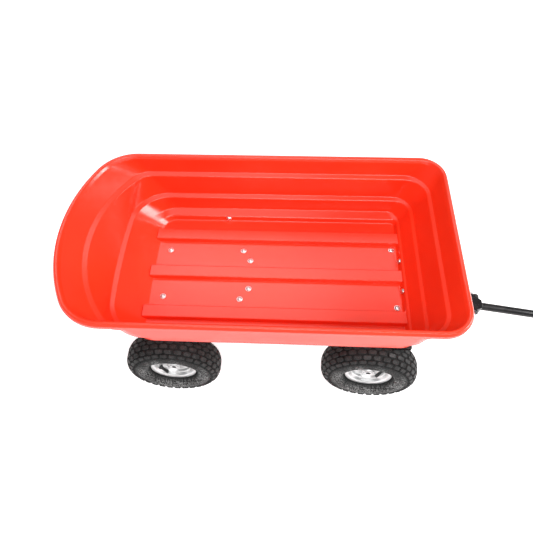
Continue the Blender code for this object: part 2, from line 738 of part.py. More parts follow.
# ---------------------------------------------------------------- handle
def make_yoke(parent, steel):
    """Short knuckle, hollow from below, between the pivot ears; the tube is welded to its nose."""
    front = TUBE_START - GAP
    half = [(-0.020, YOKE_ARM_Y), (0.010, YOKE_ARM_Y), (front, 0.0125)]
    outline = half + [(x, -y) for x, y in reversed(half)]
    shape = prism(outline, -YOKE_HEIGHT / 2, YOKE_HEIGHT / 2, "Z")
    yoke = add_object("handle_yoke", shape, steel, parent)
    inner = YOKE_ARM_Y - BAR_THICKNESS
    hollow = box((-0.030, 0.0095), (-inner, inner), (-YOKE_HEIGHT, YOKE_HEIGHT / 2 - BAR_THICKNESS))
    combine(yoke, cutter("yoke_hollow", hollow, parent), "DIFFERENCE")
    hole = rod(PIVOT_BOLT_RADIUS + GAP, -0.05, 0.05, "Y")
    combine(yoke, cutter("yoke_hole", hole, parent), "DIFFERENCE")


def make_handle_tube(parent, steel):
    inner = TUBE_RADIUS - WALL
    ring = ((TUBE_START, inner), (TUBE_START, TUBE_RADIUS), (TUBE_END, TUBE_RADIUS), (TUBE_END, inner))
    add_object("handle_tube", turned(ring, 16, "X", True), steel, parent, smooth=35)


def make_clevis(parent, steel, metal):
    """Tow jaw at the tube's end, its hitch pin and the bolt that the hand grip turns on."""
    jaw = 0.010
    outline = (
        (TUBE_END + GAP, -CLEVIS_HALF_HEIGHT),
        (CLEVIS_NOSE, -CLEVIS_HALF_HEIGHT),
        (CLEVIS_NOSE, -jaw),
        (GRIP_PIVOT + 0.016, -jaw),
        (GRIP_PIVOT + 0.016, jaw),
        (CLEVIS_NOSE, jaw),
        (CLEVIS_NOSE, CLEVIS_HALF_HEIGHT),
        (TUBE_END + GAP, CLEVIS_HALF_HEIGHT),
    )
    shape = prism(outline, -CLEVIS_HALF_WIDTH, CLEVIS_HALF_WIDTH, "Y")
    clevis = add_object("hitch_clevis", shape, steel, parent)
    pin_hole = rod(HITCH_PIN_RADIUS + GAP, -0.03, 0.03, "Z")
    combine(clevis, cutter("hitch_hole", pin_hole, parent, (HITCH_PIN_AT, 0, 0)), "DIFFERENCE")
    bolt_hole = rod(0.0045 + GAP, -0.03, 0.03, "Y")
    combine(clevis, cutter("grip_bolt_hole", bolt_hole, parent, (GRIP_PIVOT, 0, 0)), "DIFFERENCE")
    reach = GRIP_ARM_Y + GRIP_TUBE_RADIUS + GAP
    bolt = bolt_shape("Y", -reach - 0.0045, -reach, reach, reach + 0.0055, 0.0045, 0.0078)
    add_object("grip_bolt", bolt, metal, parent, (GRIP_PIVOT, 0, 0), smooth=35)
    pin = turned(((-0.0240, 0.0), (-0.0240, 0.0045), (-0.0225, HITCH_PIN_RADIUS), (0.0153, HITCH_PIN_RADIUS),
                  (0.0153, 0.0110), (0.0175, 0.0110), (0.0175, 0.0050), (0.0230, 0.0050),
                  (0.0230, 0.0090), (0.0290, 0.0090), (0.0290, 0.0)), 12, "Z", False)
    add_object("hitch_pin", pin, metal, parent, (HITCH_PIN_AT, 0, 0), smooth=35)


def make_grip(parent, steel, black):
    """D-shaped loop and its sleeve, about the grip bolt."""
    bar = GRIP_BAR - GRIP_PIVOT
    bend = 0.0155
    half = [(-0.010, GRIP_ARM_Y), (0.016, GRIP_ARM_Y), (0.026, GRIP_ARM_Y + 0.004)]
    half += [(0.050, GRIP_HALF_WIDTH - 0.004), (0.060, GRIP_HALF_WIDTH)]
    half += arc((bar - bend, GRIP_HALF_WIDTH - bend), bend, 90, 0, 4)
    path = half + [(x, -y) for x, y in reversed(half)]
    loop = add_object("grip_loop", swept_tube(path, GRIP_TUBE_RADIUS, 8), steel, parent, smooth=35)
    hole = rod(0.0045 + GAP, -0.05, 0.05, "Y")
    combine(loop, cutter("loop_hole", hole, parent), "DIFFERENCE")
    inner = GRIP_TUBE_RADIUS + 0.0006
    ring = ((-SLEEVE_HALF_LENGTH, inner), (-SLEEVE_HALF_LENGTH, SLEEVE_RADIUS - 0.002),
            (0.002 - SLEEVE_HALF_LENGTH, SLEEVE_RADIUS), (SLEEVE_HALF_LENGTH - 0.002, SLEEVE_RADIUS),
            (SLEEVE_HALF_LENGTH, SLEEVE_RADIUS - 0.002), (SLEEVE_HALF_LENGTH, inner))
    add_object("grip_sleeve", turned(ring, 16, "Y", True), black, parent, (bar, 0, 0), smooth=35)


# ---------------------------------------------------------------- wheels
def mirrored_profile(half):
    """Add the mirror image of (along, radius) points on the outer half of a wheel."""
    return [(-a, r) for a, r in reversed(half)] + list(half)


def tyre_profile():
    """C-shaped section, open towards the rim; radii as shares of the crown's."""
    outer = [(0.010, 1.0), (0.0265, 0.955), (0.0375, 0.870), (0.0418, 0.745), (0.0425, 0.610),
             (0.0375, 0.545), (0.0255, 0.508), (0.0210, 0.487), (0.0210, 0.428)]
    inner = [(0.021, 0.905), (0.0350, 0.785), (0.0355, 0.630), (0.0310, 0.585), (0.0150, 0.540),
             (0.0150, 0.428)]
    crown = TYRE_RADIUS / math.cos(math.pi / WHEEL_SEGMENTS)
    outside = mirrored_profile([(a, r * crown) for a, r in outer])
    inside = mirrored_profile([(a, r * crown) for a, r in inner])
    return outside + inside[::-1]


def rim_profile():
    """Pressed rim: two flanges, bead seats, a well, a dished disc and the hub tube."""
    flange = FLANGE_RADIUS
    return [
        (-0.0242, flange), (-0.0215, flange), (-0.0212, 0.0545), (-0.0100, 0.0460),
        (0.0100, 0.0460), (0.0212, 0.0545), (0.0215, flange), (0.0242, flange),
        (0.0236, 0.0520), (0.0115, 0.0430), (0.0050, 0.0400), (0.0050, 0.0165),
        (0.0185, 0.0165), (0.0185, 0.0127), (-0.0555, 0.0127), (-0.0555, 0.0165),
        (0.0020, 0.0165), (0.0020, 0.0430), (-0.0115, 0.0430), (-0.0236, 0.0520),
    ]


def make_wheel(corner, parent, location, sign, tyre_look, rim_look, bearing_look):
    """Tyre, rim and bearing sleeve about their own axle; sign is +1 on the left."""
    facing = 0 if sign > 0 else math.pi
    turn = (0, 0, facing)
    tyre = turned(tyre_profile(), WHEEL_SEGMENTS, "Y", True)
    add_object(f"tyre_{corner}", tyre, tyre_look, parent, location, turn, smooth=40)
    rim = turned(rim_profile(), WHEEL_SEGMENTS, "Y", True)
    add_object(f"rim_{corner}", rim, rim_look, parent, location, turn, smooth=40)
    ring = ((-0.0550, AXLE_RADIUS + 0.0004), (-0.0550, 0.0122), (0.0175, 0.0122),
            (0.0175, AXLE_RADIUS + 0.0004))
    sleeve = turned(ring, 16, "Y", True)
    add_object(f"bearing_{corner}", sleeve, bearing_look, parent, location, turn, smooth=35)


# ---------------------------------------------------------------- assembly
def footprint_centre():
    """Middle of the cart between the tub's rear lip and the hand grip's front."""
    along = HANDLE_PIVOT_AHEAD + (GRIP_BAR * math.cos(HANDLE_DROOP)) + SLEEVE_RADIUS
    swing = (SLEEVE_HALF_LENGTH - 0.002) * math.sin(-STEER)
    front = WHEELBASE + along * math.cos(STEER) + swing
    return (front + RIM.rear) / 2


def build():
    clear_scene()
    red, steel, metal = red_plastic(), black_steel(), zinc()
    rim_look, tyre_look, black = silver_rim(), rubber(), black_plastic()
    cart = empty("cart", None, (-footprint_centre(), 0, 0))

    make_spine(cart, steel)
    pin_hole = make_rear_hinge(cart, steel, metal)
    make_rear_axle(cart, steel, metal)
    make_turntable_top(cart, steel)
    make_bed_rest(cart, steel, tyre_look)
    make_latch_mount(cart, steel, metal)
    for side, sign in (("left", 1), ("right", -1)):
        spot = (0, sign * WHEEL_TRACK_HALF, AXLE_HEIGHT)
        make_wheel(f"rear_{side}", cart, spot, sign, tyre_look, rim_look, black)

    tub_axis = empty("tub_axis", cart, (TUB_PIVOT_X, 0, TUB_PIVOT_Z))
    back = (-TUB_PIVOT_X, 0, -TUB_PIVOT_Z)
    holes = cutter("bolt_holes", bolt_holes(), tub_axis, back)
    make_tub(tub_axis, back, holes, red)
    make_rails(tub_axis, back, holes, steel)
    make_bolts(tub_axis, back, metal)
    make_tub_hinges(tub_axis, back, pin_hole, steel)
    make_striker(tub_axis, back, steel, metal)

    latch_axis = empty("latch_axis", cart, (LATCH_X, 0, LATCH_Z), (0, -LATCH_OPEN, 0))
    make_latch(latch_axis, steel, black)

    steering = empty("steering_axis", cart, (WHEELBASE, 0, 0), (0, 0, STEER))
    make_front_beam(steering, steel, metal)
    make_turntable_bottom(steering, steel, metal)
    make_drawbars(steering, steel, metal)
    for side, sign in (("left", 1), ("right", -1)):
        spot = (0, sign * WHEEL_TRACK_HALF, AXLE_HEIGHT)
        make_wheel(f"front_{side}", steering, spot, sign, tyre_look, rim_look, black)

    handle = empty("handle_axis", steering, (HANDLE_PIVOT_AHEAD, 0, HANDLE_PIVOT_Z), (0, HANDLE_DROOP, 0))
    make_yoke(handle, steel)
    make_handle_tube(handle, steel)
    make_clevis(handle, steel, metal)
    grip = empty("grip_axis", handle, (GRIP_PIVOT, 0, 0))
    make_grip(grip, steel, black)
    bpy.context.view_layer.update()


build()
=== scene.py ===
import json
import math

import bmesh
import bpy
from mathutils import Matrix, Vector


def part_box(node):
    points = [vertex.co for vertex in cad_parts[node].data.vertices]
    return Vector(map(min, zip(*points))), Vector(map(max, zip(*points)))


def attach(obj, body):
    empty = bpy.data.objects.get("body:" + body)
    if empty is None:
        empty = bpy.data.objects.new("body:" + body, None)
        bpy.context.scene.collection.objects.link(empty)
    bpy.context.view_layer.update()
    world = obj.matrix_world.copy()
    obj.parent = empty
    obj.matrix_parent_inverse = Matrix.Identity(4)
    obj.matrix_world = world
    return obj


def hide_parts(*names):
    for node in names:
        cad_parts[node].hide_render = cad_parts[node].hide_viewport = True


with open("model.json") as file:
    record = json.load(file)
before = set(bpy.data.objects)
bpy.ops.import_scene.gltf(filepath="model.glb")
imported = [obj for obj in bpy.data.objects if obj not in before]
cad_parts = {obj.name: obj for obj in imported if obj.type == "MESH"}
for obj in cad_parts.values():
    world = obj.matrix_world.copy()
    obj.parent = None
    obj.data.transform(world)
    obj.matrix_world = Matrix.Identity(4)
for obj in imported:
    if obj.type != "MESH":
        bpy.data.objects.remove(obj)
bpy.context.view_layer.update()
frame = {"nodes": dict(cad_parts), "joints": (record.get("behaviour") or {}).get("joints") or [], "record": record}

# ---------------------------------------------------------------- places taken from the frame
JOINTS = {joint["name"]: joint for joint in frame["joints"]}


def middle(node):
    low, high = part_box(node)
    return (low + high) / 2


AXLE_X = middle("rear_axle").x
KINGPIN_X = middle("kingpin").x
AXLE_Z = middle("rear_axle").z
TRACK = middle("tyre_rear_left").y
STEER_AXIS = Vector(JOINTS["wheel_front_left_spin"]["axis"])
STEER = math.atan2(-STEER_AXIS.x, STEER_AXIS.y)
LIFT = Vector(JOINTS["handle_lift"]["pos_m"])
PIVOT_AHEAD = math.hypot(LIFT.x - KINGPIN_X, LIFT.y)
DROOP = math.radians(6.0)  # the handle points this far below level at rest
LATCH_OPEN = math.radians(13.0)  # the latch's turn when released

CART = Matrix.Translation((AXLE_X, 0, 0))
TRUCK = Matrix.Translation((KINGPIN_X, 0, 0)) @ Matrix.Rotation(STEER, 4, "Z")
HANDLE = TRUCK @ Matrix.Translation((PIVOT_AHEAD, 0, LIFT.z)) @ Matrix.Rotation(DROOP, 4, "Y")
LATCH = Matrix.Translation(JOINTS["latch_swing"]["pos_m"]) @ Matrix.Rotation(-LATCH_OPEN, 4, "Y")

CORNERS = {
    "rear_left": (CART, 1),
    "rear_right": (CART, -1),
    "front_left": (TRUCK, 1),
    "front_right": (TRUCK, -1),
}


def wheel_place(corner):
    base, sign = CORNERS[corner]
    turn = Matrix.Rotation(0.0 if sign > 0 else math.pi, 4, "Z")
    return base @ Matrix.Translation((0, sign * TRACK, AXLE_Z)) @ turn


# ---------------------------------------------------------------- node materials
class Look:
    """A material under construction: small wrappers for nodes and links."""

    def __init__(self, name, colour, roughness, metallic=0.0):
        self.material = bpy.data.materials.new(name)
        self.material.use_nodes = True
        self.tree = self.material.node_tree
        self.shader = self.tree.nodes["Principled BSDF"]
        self.set("Base Color", (*colour, 1.0))
        self.set("Roughness", roughness)
        self.set("Metallic", metallic)
        self.place = self.node("ShaderNodeTexCoord").outputs["Object"]

    def set(self, socket, value):
        self.shader.inputs[socket].default_value = value

    def node(self, kind, **settings):
        made = self.tree.nodes.new(kind)
        for key, value in settings.items():
            setattr(made, key, value)
        return made

    def link(self, out, into):
        self.tree.links.new(out, into)

    def noise(self, scale, detail=3.0, rough=0.5):
        made = self.node("ShaderNodeTexNoise")
        made.inputs["Scale"].default_value = scale
        made.inputs["Detail"].default_value = detail
        made.inputs["Roughness"].default_value = rough
        self.link(self.place, made.inputs["Vector"])
        return made.outputs["Fac"]

    def cells(self, scale):
        made = self.node("ShaderNodeTexVoronoi", feature="F1")
        made.inputs["Scale"].default_value = scale
        self.link(self.place, made.inputs["Vector"])
        return made.outputs["Distance"]

    def ramp(self, value, low, high, out_low=0.0, out_high=1.0):
        """Straight, clamped change from out_low at low to out_high at high."""
        made = self.node("ShaderNodeMapRange", clamp=True)
        made.inputs["From Min"].default_value = low
        made.inputs["From Max"].default_value = high
        made.inputs["To Min"].default_value = out_low
        made.inputs["To Max"].default_value = out_high
        self.link(value, made.inputs["Value"])
        return made.outputs["Result"]

    def maths(self, operation, first, second):
        made = self.node("ShaderNodeMath", operation=operation)
        for socket, value in zip(made.inputs, (first, second)):
            if isinstance(value, (int, float)):
                socket.default_value = value
            else:
                self.link(value, socket)
        return made.outputs["Value"]

    def mix(self, share, first, second):
        """Colour mix; first and second are colours or sockets."""
        made = self.node("ShaderNodeMix", data_type="RGBA")
        self.link(share, made.inputs["Factor"])
        for name, value in (("A", first), ("B", second)):
            socket = next(s for s in made.inputs if s.name == name and s.type == "RGBA")
            if isinstance(value, tuple):
                socket.default_value = (*value, 1.0)
            else:
                self.link(value, socket)
        return next(s for s in made.outputs if s.type == "RGBA")

    def colour(self, out):
        self.link(out, self.shader.inputs["Base Color"])

    def rough(self, out):
        self.link(out, self.shader.inputs["Roughness"])

    def bump(self, *layers):
        """Stack (height socket, strength, distance) bumps."""
        normal = None
        for height, strength, distance in layers:
            made = self.node("ShaderNodeBump")
            made.inputs["Strength"].default_value = strength
            made.inputs["Distance"].default_value = distance
            self.link(height, made.inputs["Height"])
            if normal is not None:
                self.link(normal, made.inputs["Normal"])
            normal = made.outputs["Normal"]
        self.link(normal, self.shader.inputs["Normal"])

    def spin_radius(self):
        """Distance from the object's own Y axis."""
        split = self.node("ShaderNodeSeparateXYZ")
        self.link(self.place, split.inputs["Vector"])
        squares = [self.maths("MULTIPLY", split.outputs[axis], split.outputs[axis]) for axis in "XZ"]
        return self.maths("SQRT", self.maths("ADD", *squares), 0.0)

    def upward(self):
        """Share that grows from 0 on faces that look down to 1 on faces that look up."""
        geometry = self.node("ShaderNodeNewGeometry")
        split = self.node("ShaderNodeSeparateXYZ")
        self.link(geometry.outputs["Normal"], split.inputs["Vector"])
        return self.ramp(split.outputs["Z"], -0.2, 1.0)


def red_plastic():
    look = Look("red_moulded_plastic", (0.86, 0.034, 0.010), 0.24)
    look.set("Specular IOR Level", 0.5)
    cloud = look.noise(3.5, 3.0, 0.55)
    fine = look.noise(75.0, 3.0, 0.55)
    look.colour(look.mix(look.ramp(cloud, 0.3, 0.7), (0.83, 0.031, 0.009), (0.90, 0.040, 0.012)))
    look.rough(look.ramp(fine, 0.3, 0.7, 0.20, 0.27))
    grain = look.noise(900.0, 2.0, 0.6)
    wave = look.noise(9.0, 2.0, 0.5)
    look.bump((wave, 0.10, 0.004), (grain, 0.07, 0.0003))
    return look.material


def black_steel():
    look = Look("black_powder_coat", (0.008, 0.008, 0.009), 0.26)
    look.set("Specular IOR Level", 0.3)
    cloud = look.noise(7.0, 4.0, 0.6)
    dust = look.maths("MULTIPLY", look.ramp(look.noise(38.0, 5.0, 0.65), 0.42, 0.75), look.upward())
    body = look.mix(look.ramp(cloud, 0.3, 0.7), (0.006, 0.006, 0.007), (0.012, 0.012, 0.013))
    look.colour(look.mix(look.maths("MULTIPLY", dust, 0.16), body, (0.075, 0.071, 0.066)))
    base = look.ramp(look.noise(24.0, 3.0, 0.6), 0.3, 0.7, 0.17, 0.28)
    look.rough(look.maths("ADD", base, look.maths("MULTIPLY", dust, 0.14)))
    look.bump((look.noise(420.0, 2.0, 0.5), 0.12, 0.0005))
    return look.material


def weld_steel():
    look = Look("painted_weld", (0.014, 0.014, 0.015), 0.38)
    look.colour(look.mix(look.ramp(look.noise(160.0, 4.0, 0.6), 0.35, 0.7), (0.010, 0.010, 0.011),
                         (0.030, 0.029, 0.028)))
    look.bump((look.noise(500.0, 3.0, 0.6), 0.35, 0.0008))
    return look.material


def zinc():
    look = Look("zinc_plate", (0.74, 0.75, 0.77), 0.26, 1.0)
    spangle = look.cells(260.0)
    tint = look.mix(look.ramp(look.noise(45.0, 3.0, 0.6), 0.35, 0.7), (0.72, 0.74, 0.78),
                    (0.80, 0.78, 0.70))
    look.colour(look.mix(look.ramp(spangle, 0.2, 0.8), tint, (0.62, 0.63, 0.65)))
    look.rough(look.ramp(look.noise(180.0, 4.0, 0.6), 0.3, 0.7, 0.18, 0.40))
    look.bump((look.noise(700.0, 2.0, 0.5), 0.10, 0.0004))
    return look.material


def silver_rim():
    look = Look("silver_rim_lacquer", (0.70, 0.70, 0.70), 0.34, 0.78)
    flake = look.cells(1400.0)
    cloud = look.noise(26.0, 4.0, 0.6)
    body = look.mix(look.ramp(flake, 0.1, 0.7), (0.74, 0.74, 0.74), (0.64, 0.64, 0.645))
    grime = look.ramp(cloud, 0.50, 0.75)
    look.colour(look.mix(look.maths("MULTIPLY", grime, 0.40), body, (0.36, 0.355, 0.345)))
    look.rough(look.ramp(look.noise(90.0, 4.0, 0.6), 0.3, 0.7, 0.28, 0.42))
    look.bump((look.noise(500.0, 2.0, 0.5), 0.08, 0.0003))
    return look.material


def rubber():
    """Carcass rubber, kept darker than the tread so that the grooves between the blocks hold painted shade;
    pebbled on the sidewalls, with pale flecks there that are partly dust and partly painted glints on the raised
    pebbles.
    """
    look = Look("tyre_rubber", (0.012, 0.012, 0.012), 0.70)
    look.set("Specular IOR Level", 0.18)
    cloud = look.noise(18.0, 5.0, 0.65)
    shoulder_fade, bead_fade = (0.1060, 0.0960), (0.0660, 0.0720)
    wall = look.ramp(look.spin_radius(), *shoulder_fade)
    lip = look.ramp(look.spin_radius(), *bead_fade)
    # Pale flecks on the high points of the pebble bump below, gathered into patches: partly dust, partly painted
    # glints on the pebbles.
    pebble_glint = look.ramp(look.noise(250.0, 3.0, 0.7), 0.47, 0.58)
    patch = look.ramp(look.noise(14.0, 3.0, 0.6), 0.38, 0.62, 0.12, 1.0)
    dust = look.maths("MULTIPLY", look.maths("MULTIPLY", pebble_glint, patch), look.maths("MULTIPLY", wall, lip))
    # Dark carcass colour: with the paler tread above it, the grooves get painted shade.
    body = look.mix(look.ramp(cloud, 0.38, 0.66), (0.006, 0.006, 0.006), (0.020, 0.020, 0.020))
    # The pale colour is that dust and painted glint.
    look.colour(look.mix(dust, body, (0.270, 0.268, 0.265)))
    look.rough(look.ramp(cloud, 0.3, 0.7, 0.60, 0.85))
    look.bump((look.noise(250.0, 3.0, 0.7), 0.35, 0.0010))
    return look.material


def tread_rubber():
    """Tops and sides of the tread blocks: painted paler than the carcass, so the grooves between them read as
    painted shade, and smoother.
    """
    look = Look("tread_rubber", (0.025, 0.025, 0.025), 0.50)
    look.set("Specular IOR Level", 0.16)
    # Paler than the carcass, so the block tops stand out against the painted shade in the grooves.
    body = look.mix(look.ramp(look.noise(60.0, 4.0, 0.6), 0.35, 0.65), (0.016, 0.016, 0.016),
                    (0.040, 0.040, 0.040))
    dust = look.ramp(look.noise(320.0, 3.0, 0.6), 0.55, 0.68, 0.0, 0.5)
    look.colour(look.mix(dust, body, (0.085, 0.085, 0.084)))
    look.rough(look.ramp(look.noise(45.0, 3.0, 0.6), 0.3, 0.7, 0.42, 0.65))
    look.bump((look.noise(400.0, 3.0, 0.6), 0.15, 0.0006))
    return look.material


def black_plastic():
    look = Look("black_textured_plastic", (0.014, 0.014, 0.014), 0.45)
    look.colour(look.mix(look.ramp(look.noise(30.0, 4.0, 0.6), 0.3, 0.7), (0.010, 0.010, 0.010),
                         (0.022, 0.022, 0.022)))
    look.rough(look.ramp(look.noise(120.0, 3.0, 0.6), 0.3, 0.7, 0.36, 0.58))
    look.bump((look.cells(900.0), 0.25, 0.0005))
    return look.material


RED = red_plastic()
STEEL = black_steel()
WELD = weld_steel()
ZINC = zinc()
RIM = silver_rim()
RUBBER = rubber()
TREAD = tread_rubber()
PLASTIC = black_plastic()


# ---------------------------------------------------------------- mesh helpers
def make_object(name, shape, look, place, smooth=35.0):
    bmesh.ops.recalc_face_normals(shape, faces=shape.faces)
    mesh = bpy.data.meshes.new(name)
    shape.to_mesh(mesh)
    shape.free()
    mesh.materials.append(look)
    mesh.shade_smooth()
    mesh.set_sharp_from_angle(angle=math.radians(smooth))
    made = bpy.data.objects.new(name, mesh)
    bpy.context.collection.objects.link(made)
    made.matrix_world = place
    return made


def soften(obj, width):
    """Rounded edges, with the flat faces still shaded flat."""
    step = obj.modifiers.new("edges", "BEVEL")
    step.width = width
    step.segments = 2
    step.limit_method = "ANGLE"
    step.angle_limit = math.radians(32.0)
    step.use_clamp_overlap = True
    obj.data.shade_smooth()
    even = obj.modifiers.new("shading", "WEIGHTED_NORMAL")
    even.keep_sharp = False
    even.weight = 80


def fit_in(obj, body, slot, *nodes):
    """Put a piece on its body in place of the CAD nodes it stands for; the slot argument is not used."""
    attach(obj, body)
    if nodes:
        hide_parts(*nodes)


def baked(obj):
    """Apply the object's modifiers to its mesh."""
    bpy.context.view_layer.update()
    graph = bpy.context.evaluated_depsgraph_get()
    mesh = bpy.data.meshes.new_from_object(obj.evaluated_get(graph), depsgraph=graph)
    obj.modifiers.clear()
    obj.data = mesh


def along_axis(axis, first, second, along):
    if axis == "X":
        return (along, first, second)
    if axis == "Y":
        return (first, along, second)
    return (first, second, along)


def turned(profile, segments, axis, closed=False, six=()):
    """Revolved solid from (along, radius) points; the rows whose numbers are in six are hexagons."""
    shape = bmesh.new()
    rings = []
    for row, (along, radius) in enumerate(profile):
        if radius == 0.0:
            rings.append([shape.verts.new(along_axis(axis, 0, 0, along))])
            continue
        ring = []
        for i in range(segments):
            angle = math.tau * (i + 0.5) / segments
            reach = radius
            if row in six:
                within = angle % (math.pi / 3) - math.pi / 6
                reach = radius * math.cos(math.pi / 6) / math.cos(within)
            ring.append(shape.verts.new(
                along_axis(axis, reach * math.cos(angle), reach * math.sin(angle), along)))
        rings.append(ring)
    pairs = list(zip(rings, rings[1:]))
    if closed:
        pairs.append((rings[-1], rings[0]))
    for low, high in pairs:
        for i in range(segments):
            j = (i + 1) % segments
            if len(low) == 1:
                shape.faces.new((low[0], high[j], high[i]))
            elif len(high) == 1:
                shape.faces.new((low[i], low[j], high[0]))
            else:
                shape.faces.new((low[i], low[j], high[j], high[i]))
    return shape


def fillet(points, radii, steps, closed=False):
    """Polyline or polygon with its corners replaced by true arcs; radii is a number or a list."""
    points = [Vector(p) for p in points]
    count = len(points)
    inner = range(count) if closed else range(1, count - 1)
    out = [] if closed else [points[0]]
    for i in inner:
        corner = points[i]
        radius = radii[i] if isinstance(radii, (list, tuple)) else radii
        back, ahead = points[i - 1] - corner, points[(i + 1) % count] - corner
        turn = (math.pi - back.angle(ahead)) / 2
        if radius == 0.0:
            out.append(corner)
            continue
        reach = min(max(radius * math.tan(turn), 0.0003), 0.46 * back.length, 0.46 * ahead.length)
        start, end = corner + back.normalized() * reach, corner + ahead.normalized() * reach
        weight = math.cos(turn)
        for k in range(steps + 1):
            t = k / steps
            a, b, c = (1 - t) ** 2, 2 * weight * t * (1 - t), t ** 2
            out.append((start * a + corner * b + end * c) / (a + b + c))
    if not closed:
        out.append(points[-1])
    return out


def skin(rings, capped=False, shape=None):
    """Quads between closed rings of points, with a face over each end if capped."""
    shape = shape or bmesh.new()
    rows = [[shape.verts.new(p) for p in ring] for ring in rings]
    count = len(rows[0])
    for low, high in zip(rows, rows[1:]):
        for i in range(count):
            j = (i + 1) % count
            shape.faces.new((low[i], low[j], high[j], high[i]))
    if capped:
        shape.faces.new(rows[0])
        shape.faces.new(rows[-1][::-1])
    return shape


def swept(path, radius, sides):
    """Round bar along a 3-D path."""
    path = [Vector(p) for p in path]
    rings = []
    guide = None
    for i, point in enumerate(path):
        along = (path[min(i + 1, len(path) - 1)] - path[max(i - 1, 0)]).normalized()
        if guide is None:
            guide = along.orthogonal().normalized()
        side = (guide - along * guide.dot(along)).normalized()
        guide = side
        other = along.cross(side)
        rings.append([point + (side * math.cos(a) + other * math.sin(a)) * radius
                      for a in (math.tau * k / sides for k in range(sides))])
    return skin(rings, capped=True)


# ---------------------------------------------------------------- tub
BOW_STEPS, REAR_STEPS, FRONT_STEPS = 12, 14, 12


class Level:
    """One contour of the tub: a plan outline with a bowed rear, at one height."""

    def __init__(self, half_width, front, rear, front_radius, rear_radius, bow, height):
        self.half_width = half_width
        self.front = front
        self.rear = rear
        self.front_radius = front_radius
        self.rear_radius = rear_radius
        self.bow = bow
        self.height = height

    def moved_in(self, side, front, rear, drop):
        """The contour nearer the middle by each of these, and lower by drop."""
        return Level(self.half_width - side, self.front - front, self.rear + rear,
                     max(self.front_radius - side, 0.006), max(self.rear_radius - side, 0.010),
                     self.bow - rear, self.height - drop)

    def outline(self):
        """Plan points from the middle of the rear round the left side and back."""
        bow_centre = self.rear + self.bow
        reach = self.half_width - self.rear_radius
        fillet_x = bow_centre - math.sqrt((self.bow - self.rear_radius) ** 2 - reach ** 2)
        join = math.atan2(reach, bow_centre - fillet_x)
        half = arc(bow_centre, 0.0, self.bow, math.pi, math.pi - join, BOW_STEPS)
        half += arc(fillet_x, reach, self.rear_radius, math.pi - join, math.pi / 2, REAR_STEPS)[1:]
        half += arc(self.front - self.front_radius, self.half_width - self.front_radius,
                    self.front_radius, math.pi / 2, 0.0, FRONT_STEPS)
        half += [(x, -y) for x, y in half[:0:-1]]
        return [Vector((x, y, self.height)) for x, y in half]


def arc(x, y, radius, start, end, steps):
    """Plan points round a centre, ends included."""
    return [(x + radius * math.cos(start + (end - start) * i / steps),
             y + radius * math.sin(start + (end - start) * i / steps)) for i in range(steps + 1)]


FLOOR_Z = 0.280
WALL = 0.004
RIM_LEVEL = Level(0.2645, 0.7205, -0.2600, 0.069, 0.118, 0.427, 0.4755)
UPPER_LEDGE = Level(0.2385, 0.6815, -0.202, 0.062, 0.066, 0.336, 0.420)
MIDDLE_LEDGE = Level(0.2225, 0.6490, -0.136, 0.048, 0.100, 2.0, 0.349)
LOWER_LEDGE = Level(0.2020, 0.6218, -0.081, 0.024, 0.052, 2.0, 0.2995)
FLOOR = Level(0.188, 0.6130, -0.0595, 0.010, 0.042, 4.0, FLOOR_Z)
# Half of each ledge's run at the side, front and rear, and half of its fall.
UPPER_RUN = (0.0062, 0.0045, 0.0060, 0.0028)
MIDDLE_RUN = (0.0062, 0.0040, 0.0060, 0.0028)
LOWER_RUN = (0.0115, 0.0030, 0.0058, 0.0053)
PROFILE_STEPS = 4
HIGH_CORNER, LOW_CORNER = 9, 10  # the lowest ledge's two corners in a tub column
LEDGE_END_X, LEDGE_END_RUN = -0.070, 0.010
LEDGE_END_SHARES = ((HIGH_CORNER, 0.48), (LOW_CORNER, 0.70))
FRONT_STEP_X, FRONT_STEP_RUN, FRONT_STEP_SHIFT = 0.600, 0.016, 0.0036
RIB_REAR = FLOOR.rear - 0.0075
RIB_FRONT = FLOOR.front + 0.0040
RIB_PITCH = 0.1258
RIB_HALF = 0.0174
RIB_BASE = 0.0193
RIB_HEIGHT = 0.0139
RIB_FOOT = 0.0020  # how far the ribs reach into the floor
HOLLOW_FOOT, HOLLOW_REAR, HOLLOW_FRONT = 0.010, 0.004, 0.006


def tub_columns():
    """Rounded profile lines from the lip's lower edge over the rim down to the floor."""
    corners = [
        (RIM_LEVEL.moved_in(0.0006, 0.0006, 0.0006, 0.0175), 0.0),
        (RIM_LEVEL.moved_in(0.0, 0.0, 0.0, 0.0076), 0.0016),
        (RIM_LEVEL.moved_in(0.0044, 0.0044, 0.0044, 0.0), 0.0030),
        (RIM_LEVEL.moved_in(0.0115, 0.0115, 0.0115, 0.0006), 0.0070),
        (RIM_LEVEL.moved_in(0.0165, 0.0170, 0.0175, 0.0100), 0.0040),
    ]
    for ledge, run in ((UPPER_LEDGE, UPPER_RUN), (MIDDLE_LEDGE, MIDDLE_RUN), (LOWER_LEDGE, LOWER_RUN)):
        corners.append((ledge.moved_in(*(-value for value in run)), 0.0032))
        corners.append((ledge.moved_in(*run), 0.0050))
    corners.append((FLOOR, 0.0045))
    corners.append((FLOOR.moved_in(0.012, 0.012, 0.012, 0.0), 0.0))
    columns = [list(column) for column in zip(*(level.outline() for level, _ in corners))]
    radii = [radius for _, radius in corners]
    for column in columns:
        blend_low_ledge(column)
    return [fillet(column, radii, PROFILE_STEPS) for column in columns]


